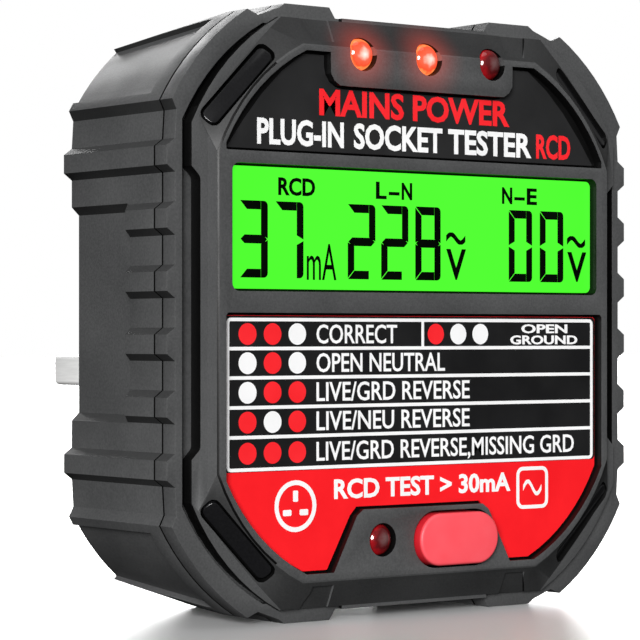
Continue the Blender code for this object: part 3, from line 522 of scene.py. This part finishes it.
def letter(solid, text, left, right, bottom, top, surface, bold=0.03):
    """Add raised lettering whose capitals fill the box, standing on a surface at this depth."""
    capital = glyphs("H", bold)
    base, cap = extent(capital, 1)
    bpy.data.meshes.remove(capital)
    mesh = glyphs(text, bold)
    start, end = extent(mesh, 0)
    for vertex in mesh.vertices:
        across = left + (vertex.co.x - start) / (end - start) * (right - left)
        up = bottom + (vertex.co.y - base) / (cap - base) * (top - bottom)
        depth = surface - INK * (vertex.co.z + 0.5)
        vertex.co = place(across, depth, up)
    solid.from_mesh(mesh)
    bpy.data.meshes.remove(mesh)


def lettering_piece(name, solid, slot, paint):
    bmesh.ops.remove_doubles(solid, verts=solid.verts, dist=0.0005 * MM)
    return piece(name, finished_mesh(name, solid), HOUSING, slot, paint)


# ---------------------------------------------------------------- case


def in_face(across, up):
    """Whether a point is inside the ring's opening."""
    return max(abs(across) / 33.3, abs(up) / 33.7, (abs(across) + abs(up)) / 57.3) < 1.0


def ring_radius(across, depth, up):
    """Softest at the ring's inner front edge."""
    return 0.3 if depth < 0.1 and in_face(across, up) else 0.1


def ring_gap_shade_test(across, depth, up, normal):
    """The wall of the bezel's seat, and the back that meets the shell: painted near black as the shade in
    these gaps.
    """
    seat_wall = in_face(across, up) and abs(normal.y) < 0.3
    return seat_wall or depth > 2.3


def shell_radius(across, depth, up):
    return 0.3 if depth > 21.9 else 0.1


def shell_gap_shade_test(across, depth, up, normal):
    """The front that meets the ring: painted near black as the shade in the gap."""
    return depth < 2.8


def rib_underside_shade_test(across, depth, up, normal):
    """Undersides of the side ribs and of the corners' edges, painted darker as shade."""
    return normal.z < -0.4 and abs(normal.y) < 0.5 and abs(across) > 20.0 and up > -20.0


def rib_slope_shade_test(across, depth, up, normal):
    """Upper slopes of the side ribs, painted darker as the shadow of the rib above."""
    return normal.z > 0.4 and abs(normal.y) < 0.5 and abs(across) > 33.0 and abs(up) < 21.0


def bezel_radius(across, depth, up):
    if depth < -2.0:
        return 0.2
    at_corner = abs(across) + abs(up) > 40.0
    return 0.22 if depth < -0.85 and at_corner else 0.12


def bezel_gap_shade_test(across, depth, up, normal):
    """Faces at the bezel's gaps, which show near black: painted shade on its gap walls, recess steps and
    floors, steep corner walls and along the rim's chamfer.
    """
    side_wall = depth > LEDGE + 0.01
    step = depth > FACE + 0.3 and abs(normal.y) < 0.3 and in_label(across, up)
    floor = normal.y < -0.98 and FACE + 0.5 < depth < LEDGE - 0.03
    steep = abs(normal.y) < 0.62 and depth > FACE + 0.1 and abs(across) + abs(up) > 49.0
    rim_line = FACE + 0.02 < depth < FACE + 0.18 and abs(normal.x) > 0.4
    return side_wall or step or floor or steep or rim_line


def bezel_band_shade_test(across, depth, up, normal):
    """The sloping band outside the rim, painted darker as shade."""
    return -0.97 < normal.y < -0.6 and -2.4 < depth < -0.85


def in_label(across, up):
    """Whether a point is inside the outline that the labels share with the display."""
    return abs(across) < 29.0 and abs(up) < 30.7 and abs(across) + abs(up) < 50.2


def plug_radius(across, depth, up):
    """Softest along the plug block's sides."""
    return 0.4 if 22.0 < depth < 41.0 else 0.25


def small_radius(across, depth, up):
    return 0.12


def pin_radius(across, depth, up):
    return 0.18


def case():
    # Painted shade on the ribs, in the gaps and on the bezel's band.
    rib_shades = [(rib_slope_shade_paint, rib_slope_shade_test), (rib_underside_shade_paint, rib_underside_shade_test)]
    ring_shades = rib_shades + [(gap_shade_paint, ring_gap_shade_test)]
    shell_shades = rib_shades + [(gap_shade_paint, shell_gap_shade_test)]
    bezel_shades = [(band_shade_paint, bezel_band_shade_test), (gap_shade_paint, bezel_gap_shade_test)]
    softened("front_ring", "case_plastic", case_paint, ring_radius, ring_shades)
    softened("rear_shell", "case_plastic", case_paint, shell_radius, shell_shades)
    softened("face_bezel", "case_plastic", bezel_paint, bezel_radius, bezel_shades)
    softened("plug_housing", "case_plastic", plug_paint, plug_radius)
    for word in ("upper_left", "upper_right", "lower_left", "lower_right"):
        softened(f"corner_insert_{word}", "gloss_black", insert_paint, small_radius)


# ---------------------------------------------------------------- display

DIGIT_BOTTOM = 4.06
DIGIT_TOP = 12.87
HEADING_BOTTOM = 13.6
HEADING_TOP = 15.65
STROKE = 0.94  # width of an upright segment
BAR = 1.0  # height of a level segment
SLIT = 0.05  # half the gap between two segments
TURN = 0.55  # radius of a digit's right corners
DIGITS = (
    ("3", -26.4, -22.5),
    ("7", -21.4, -17.4),
    ("2", -10.9, -6.8),
    ("2", -5.9, -1.8),
    ("8", -0.7, 3.2),
    ("0", 14.1, 17.9),
    ("0", 19.2, 23.1),
)
SEGMENTS = {"0": "abcdef", "2": "abged", "3": "abgcd", "7": "abc", "8": "abcdefg"}


def segment(letter_name, width, height):
    """Outline of one display segment in a digit's own box, with the origin at its lower left."""
    half = height / 2.0
    inner = width - STROKE
    top_bar = [
        (SLIT, height),
        (inner - SLIT, height),
        (inner - SLIT, height - BAR),
        (STROKE + SLIT, height - BAR),
    ]
    upper_left = [
        (0.0, height - 3 * SLIT),
        (STROKE, height - BAR - 2 * SLIT),
        (STROKE, half + BAR / 2.0 + SLIT),
        (0.0, half + 2 * SLIT),
    ]
    upper_right = [(inner, height), (width - TURN, height)]
    for step in range(1, 5):
        angle = (1.0 - step / 4.0) * pi / 2.0
        upper_right.append((width - TURN + TURN * cos(angle), height - TURN + TURN * sin(angle)))
    upper_right += [(width, half + 2 * SLIT), (inner, half + BAR / 2.0 + SLIT)]
    middle = [
        (2 * SLIT, half),
        (BAR / 2.0 + 3 * SLIT, half + BAR / 2.0),
        (inner + STROKE - BAR / 2.0 - 3 * SLIT, half + BAR / 2.0),
        (width - 2 * SLIT, half),
        (inner + STROKE - BAR / 2.0 - 3 * SLIT, half - BAR / 2.0),
        (BAR / 2.0 + 3 * SLIT, half - BAR / 2.0),
    ]
    above = {"a": top_bar, "f": upper_left, "b": upper_right}
    below = {"d": "a", "e": "f", "c": "b"}
    if letter_name == "g":
        return middle
    if letter_name in above:
        return above[letter_name]
    return [(across, height - up) for across, up in above[below[letter_name]]]


def wave(left, right, bottom, top, thickness):
    """A tilde drawn as a thick sine line."""
    steps = 16
    middle = (bottom + top) / 2.0
    swing = (top - bottom) / 2.0 - thickness / 2.0
    upper = []
    lower = []
    for step in range(steps + 1):
        share = step / steps
        across = left + (right - left) * share
        up = middle + swing * sin(2.0 * pi * share)
        lean = thickness / 2.0 * (1.0 + 0.5 * abs(cos(2.0 * pi * share)))
        upper.append((across, up + lean))
        lower.append((across, up - lean))
    return upper + list(reversed(lower))


def display():
    softened("display_window", "display_window", display_paint, small_radius)
    surface = front_of("display_window")
    solid = bmesh.new()
    for digit, left, right in DIGITS:
        for name in SEGMENTS[digit]:
            outline = segment(name, right - left, DIGIT_TOP - DIGIT_BOTTOM)
            outline = [(left + across, DIGIT_BOTTOM + up) for across, up in outline]
            plate(solid, outline, surface - INK, surface)
    plate(solid, wave(4.1, 7.1, 8.45, 9.9, 0.5), surface - INK, surface)
    plate(solid, wave(23.75, 26.8, 8.45, 9.9, 0.5), surface - INK, surface)
    letter(solid, "V", 4.1, 7.2, 4.2, 7.9, surface, 0.02)
    letter(solid, "V", 23.8, 27.0, 4.2, 7.9, surface, 0.02)
    letter(solid, "mA", -16.9, -12.6, 3.9, 8.1, surface, 0.0)
    letter(solid, "RCD", -21.0, -15.7, HEADING_BOTTOM, HEADING_TOP, surface)
    for left, right, first, second in ((-6.7, -1.2, "L", "N"), (13.0, 18.7, "N", "E")):
        width = (right - left) * 0.29
        letter(solid, first, left, left + width, HEADING_BOTTOM, HEADING_TOP, surface)
        letter(solid, second, right - width, right, HEADING_BOTTOM, HEADING_TOP, surface)
        dash = box_outline(left + width + 0.35, right - width - 0.35, 14.1, 14.5)
        plate(solid, dash, surface - INK, surface)
    lettering_piece("display_characters", solid, "display_glass", display_ink)


# ---------------------------------------------------------------- labels

CHART_HALF_WIDTH = 28.0
ROW_LINES = (-0.73, -4.05, -7.4, -10.8, -14.2, -17.9)
LINE = 0.4
FIELD_BOTTOM = -18.15
DOT = 2.5
DOT_COLUMNS = (-25.24, -21.71, -18.18)
ROWS = (
    ("RRW", "CORRECT", -3.4),
    ("WRW", "OPEN NEUTRAL", 4.0),
    ("WRR", "LIVE/GRD REVERSE", 7.9),
    ("RWR", "LIVE/NEU REVERSE", 7.9),
    ("RRR", "LIVE/GRD REVERSE,MISSING GRD", 25.0),
)
SIDE_DOTS = "RWW"
SIDE_DOT_COLUMNS = (2.58, 6.1, 9.6)
DIVIDER = 0.55
TEXT_LEFT = -15.4
CAPITAL = 2.2
TITLE_BOTTOM = 19.4
TITLE_TOP = 22.4


def title_panel():
    """The charcoal panel printed on the upper film, inside a black border at its bowed corners."""
    bend = [(17.3, 30.1), (20.4, 27.9), (23.2, 25.2), (25.8, 22.1), (28.1, 18.95)]
    notch = [(11.7, 26.3), (12.7, 26.5), (13.54, 27.06), (14.1, 27.9), (14.3, 28.9), (14.3, 30.1)]
    half = notch + bend + [(27.9, 18.85)]
    return half + [(-across, up) for across, up in reversed(half)]


def upper_label():
    repaint(upper_film, "upper_label")
    surface = front_of("upper_label")
    panel = bmesh.new()
    plate(panel, title_panel(), surface - INK, surface)
    lettering_piece("title_panel", panel, "upper_label_film", charcoal_ink)
    ink = surface - INK
    white = bmesh.new()
    for word, left, right in (("PLUG-IN", -23.9, -11.4), ("SOCKET", -9.9, 3.6), ("TESTER", 4.5, 17.9)):
        letter(white, word, left, right, TITLE_BOTTOM, TITLE_TOP, ink)
    lettering_piece("title_white", white, "upper_label_film", white_ink)
    red = bmesh.new()
    letter(red, "MAINS POWER", -15.0, 14.3, 23.1, 26.2, ink)
    letter(red, "RCD", 18.7, 24.4, TITLE_BOTTOM, TITLE_TOP, ink)
    lettering_piece("title_red", red, "upper_label_film", red_ink)


def fault_chart():
    """The chart: a black field with ruled rows of dots and words, and symbols on the red below it."""
    repaint(chart_film, "fault_chart_label")
    surface = front_of("fault_chart_label")
    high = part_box("fault_chart_label")[1]
    field = bmesh.new()
    right = high.x / MM - 0.05
    top = high.z / MM - 0.05
    plate(field, rounded_box(-right, right, FIELD_BOTTOM, top, 0.5), surface - INK, surface)
    lettering_piece("chart_field", field, "chart_label_film", black_ink)

    ink = surface - INK
    white = bmesh.new()
    red = bmesh.new()
    middle_of = [(upper + lower) / 2.0 for upper, lower in zip(ROW_LINES, ROW_LINES[1:])]
    edges = []
    for margin, radius in ((LINE / 2, 0.6), (-LINE / 2, 0.2)):
        side = CHART_HALF_WIDTH + margin
        edges.append(rounded_box(-side, side, ROW_LINES[-1] - margin, ROW_LINES[0] + margin, radius))
    hollow_plate(white, *edges, ink - INK, ink)
    for up in ROW_LINES[1:-1]:
        line = box_outline(-CHART_HALF_WIDTH, CHART_HALF_WIDTH, up - LINE / 2, up + LINE / 2)
        plate(white, line, ink - INK * 0.9, ink)
    divider = box_outline(DIVIDER - LINE / 2, DIVIDER + LINE / 2, ROW_LINES[1], ROW_LINES[0])
    plate(white, divider, ink - INK * 0.8, ink)
    for up, (colours, text, end) in zip(middle_of, ROWS):
        for across, colour in zip(DOT_COLUMNS, colours):
            plate(red if colour == "R" else white, disc((across, up), DOT), ink - INK, ink)
        letter(white, text, TEXT_LEFT, end, up - CAPITAL / 2, up + CAPITAL / 2, ink, 0.012)
    for across, colour in zip(SIDE_DOT_COLUMNS, SIDE_DOTS):
        plate(red if colour == "R" else white, disc((across, middle_of[0]), DOT), ink - INK, ink)
    letter(white, "OPEN", 16.25, 23.9, -2.28, -1.18, ink)
    letter(white, "GROUND", 14.45, 25.6, -3.66, -2.56, ink)
    letter(white, "RCD TEST > 30mA", -12.8, 14.5, -21.7, -19.4, surface)
    socket_symbol(white, (-18.4, -22.3), 6.0, surface)
    wave_symbol(white, (18.1, -21.4), 5.2, surface)
    lettering_piece("chart_white", white, "chart_label_film", white_ink)
    lettering_piece("chart_red", red, "chart_label_film", red_ink)


def socket_symbol(solid, centre, size, surface):
    """Plain pictogram of a socket outlet: a round frame with three slots."""
    stroke = 0.55
    hollow_plate(solid, disc(centre, size), disc(centre, size - 2 * stroke), surface - INK, surface)
    for across, up, width, height in ((0.0, 1.15, 0.7, 1.3), (-1.2, -0.75, 1.2, 0.7), (1.2, -0.75, 1.2, 0.7)):
        left = centre[0] + across - width / 2
        bottom = centre[1] + up - height / 2
        slot = rounded_box(left, left + width, bottom, bottom + height, 0.15)
        plate(solid, slot, surface - INK, surface)


def wave_symbol(solid, centre, size, surface):
    """Plain pictogram for alternating current: a wave in a rounded square."""
    across, up = centre
    half = size / 2.0
    stroke = 0.45
    edges = []
    for reach, radius in ((half, 1.0), (half - stroke, 0.6)):
        edges.append(rounded_box(across - reach, across + reach, up - reach, up + reach, radius))
    hollow_plate(solid, *edges, surface - INK, surface)
    reach = half - 1.1
    line = wave(across - reach, across + reach, up - 1.0, up + 1.0, stroke)
    plate(solid, line, surface - INK, surface)


# ---------------------------------------------------------------- lamps and button


LAMP_BACK = 2.1
LEAD_OFFSET = 0.635
LEAD_HALF = 0.25


def lamp(node, paint):
    """A lamp with a smooth dome, a straight body and two leads to the board behind it."""
    low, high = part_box(node)
    front = front_of(node)
    centre = centre_of(node)
    radius = (high.x - low.x) / 2.0 / MM
    dome = radius * 0.75
    solid = bmesh.new()
    sections = []
    steps = 14
    for step in range(steps + 1):
        turn = (0.02 + 0.98 * step / steps) * pi / 2.0
        outline = disc(centre, 2.0 * radius * sin(turn), 48)
        sections.append((front + dome * (1.0 - cos(turn)), outline))
    sections.append((LAMP_BACK, disc(centre, 2.0 * radius, 48)))
    loft(solid, sections)
    for side in (-1.0, 1.0):
        across = centre[0] + side * LEAD_OFFSET
        bottom = centre[1] - LEAD_HALF
        lead = box_outline(across - LEAD_HALF, across + LEAD_HALF, bottom, bottom + 2 * LEAD_HALF)
        plate(solid, lead, LAMP_BACK, (high.y - RING_FRONT) / MM)
    made = piece(f"{node}_lens", finished_mesh(f"{node}_lens", solid), HOUSING, "lamp_red", paint, node)
    made.data.shade_smooth()
    made.data.set_sharp_from_angle(angle=radians(40.0))


def lamps():
    for node in LIT_LAMPS:
        lamp(node, lit_lamp(node))
    for node in UNLIT_LAMPS:
        lamp(node, dark_lamp(node))


def pill(length, width, centre, steps=20):
    """A slot outline with half-round ends."""
    radius = width / 2.0
    reach = length / 2.0 - radius
    outline = []
    for start, side in ((-0.5, 1.0), (0.5, -1.0)):
        for step in range(steps + 1):
            turn = (start + step / steps) * pi
            outline.append((centre[0] + side * reach + radius * cos(turn), centre[1] + radius * sin(turn)))
    return outline


BUTTON_LENGTH = 12.2
BUTTON_WIDTH = 6.3
BUTTON_ROLL = 0.4
FLANGE_FRONT = 1.3
FLANGE_BACK = 2.1
STEM_DIAMETER = 3.0


def button():
    """The test button: a cap with a rolled front edge, a flange behind the face and a stem."""
    back = (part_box("test_button")[1].y - RING_FRONT) / MM
    centre = centre_of("test_button")
    front = front_of("test_button")
    sections = []
    steps = 6
    for step in range(steps + 1):
        turn = step / steps * pi / 2.0
        inset = BUTTON_ROLL * (1.0 - sin(turn))
        outline = pill(BUTTON_LENGTH - 2 * inset, BUTTON_WIDTH - 2 * inset, centre)
        sections.append((front + BUTTON_ROLL * (1.0 - cos(turn)), outline))
    sections.append((FLANGE_FRONT + 0.4, pill(BUTTON_LENGTH, BUTTON_WIDTH, centre)))
    solid = bmesh.new()
    loft(solid, sections)
    flange = bmesh.new()
    plate(flange, pill(BUTTON_LENGTH + 1.6, BUTTON_WIDTH + 1.4, centre), FLANGE_FRONT, FLANGE_BACK)
    plate(flange, disc(centre, STEM_DIAMETER), FLANGE_BACK, back)
    cap_mesh = finished_mesh("test_button_cap", solid)
    cap = piece("test_button_cap", cap_mesh, BUTTON, "button_red", button_red, "test_button")
    cap.data.shade_smooth()
    cap.data.set_sharp_from_angle(angle=radians(35.0))
    piece("test_button_flange", finished_mesh("test_button_flange", flange), BUTTON, "button_red", button_red)


# ---------------------------------------------------------------- pins and inner parts


def repaint(paint, *nodes):
    for name in nodes:
        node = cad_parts[name]
        node.data.materials.clear()
        node.data.materials.append(paint.material)


def pins():
    for name in ("earth_pin", "live_pin", "neutral_pin"):
        softened(name, "pin_brass", pin_metal, pin_radius)
    repaint(sleeve_paint, "live_pin_sleeve", "neutral_pin_sleeve")
    repaint(brass, "earth_strap", "live_strap", "neutral_strap")


def inner_parts():
    names = sorted(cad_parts)
    repaint(steel, *[name for name in names if "screw" in name])
    repaint(solder_mask, "display_board", "mains_board")
    repaint(chip_paint, "controller_chip", "board_header", "switch_body")
    repaint(ceramic, "load_resistor_upper", "load_resistor_lower", "fuse", "pin_carrier", "switch_plunger")
    repaint(yellow_film, "film_capacitor")
    repaint(rubber, "upper_contact_strip", "lower_contact_strip")
    repaint(diffuser, "display_back_light")
    repaint(cell_glass, "display_cell")


# ---------------------------------------------------------------- studio


def studio():
    """A white floor, three soft lights, and a surround that is white only to the camera."""
    floor_mesh = bpy.data.meshes.new("floor")
    reach = 3.0
    level = cad_box[0].z - 0.02 * MM
    corners = [(-reach, -reach, level), (reach, -reach, level), (reach, reach, level), (-reach, reach, level)]
    floor_mesh.from_pydata(corners, [], [(0, 1, 2, 3)])
    floor = bpy.data.objects.new("floor", floor_mesh)
    bpy.context.scene.collection.objects.link(floor)
    floor_paint = Paint("floor_white", (0.93, 0.93, 0.93), 0.3, Specular_IOR_Level=0.12)
    cloud = floor_paint.noise(60.0)
    floor_paint.colour(floor_paint.blend(cloud, (0.92, 0.92, 0.92), (0.95, 0.95, 0.95)))
    floor_mesh.materials.append(floor_paint.material)
    floor.visible_diffuse = False
    floor.visible_glossy = False

    lights = (
        ("key", (-0.68, -0.70, 0.22), 4.2, 25.0),
        ("top", (-0.10, -0.15, 1.0), 0.35, 40.0),
        ("back_fill", (0.50, 0.75, 0.42), 4.0, 50.0),
    )
    for name, towards, strength, angle in lights:
        sun = bpy.data.lights.new(name, "SUN")
        sun.energy = strength
        sun.angle = radians(angle)
        holder = bpy.data.objects.new(name, sun)
        holder.rotation_euler = Vector(towards).to_track_quat("Z", "Y").to_euler()
        bpy.context.scene.collection.objects.link(holder)

    world = bpy.data.worlds.new("studio")
    world.use_nodes = True
    bpy.context.scene.world = world
    tree = world.node_tree
    tree.nodes.clear()
    output = tree.nodes.new("ShaderNodeOutputWorld")
    seen = tree.nodes.new("ShaderNodeBackground")
    seen.inputs["Color"].default_value = (1.0, 1.0, 1.0, 1.0)
    around = tree.nodes.new("ShaderNodeBackground")
    around.inputs["Strength"].default_value = 0.12
    sky = tree.nodes.new("ShaderNodeValToRGB")
    sky.color_ramp.elements[0].position = 0.35
    sky.color_ramp.elements[0].color = (0.12, 0.12, 0.12, 1.0)
    sky.color_ramp.elements[1].position = 0.6
    direction = tree.nodes.new("ShaderNodeTexCoord")
    split = tree.nodes.new("ShaderNodeSeparateXYZ")
    lift = tree.nodes.new("ShaderNodeMapRange")
    lift.inputs["From Min"].default_value = -1.0
    path = tree.nodes.new("ShaderNodeLightPath")
    mix = tree.nodes.new("ShaderNodeMixShader")
    tree.links.new(direction.outputs["Generated"], split.inputs["Vector"])
    tree.links.new(split.outputs["Z"], lift.inputs["Value"])
    tree.links.new(lift.outputs["Result"], sky.inputs["Fac"])
    tree.links.new(sky.outputs["Color"], around.inputs["Color"])
    tree.links.new(path.outputs["Is Camera Ray"], mix.inputs["Fac"])
    tree.links.new(around.outputs["Background"], mix.inputs[1])
    tree.links.new(seen.outputs["Background"], mix.inputs[2])
    tree.links.new(mix.outputs["Shader"], output.inputs["Surface"])
    bpy.context.scene.view_settings.view_transform = "Standard"


def camera():
    """A level view turned to the left of the face, with the horizon a little below the middle."""
    data = bpy.data.cameras.new("camera")
    data.lens = 148.4
    data.sensor_width = 36.0
    data.shift_y = 0.0234
    data.clip_start = 0.01
    holder = bpy.data.objects.new("camera", data)
    holder.location = (-0.1998, -0.28875, -0.0025)
    holder.rotation_euler = (radians(90.0), 0.0, radians(-37.0))
    bpy.context.scene.collection.objects.link(holder)
    bpy.context.scene.camera = holder


case()
display()
upper_label()
fault_chart()
lamps()
button()
pins()
inner_parts()
studio()
camera()
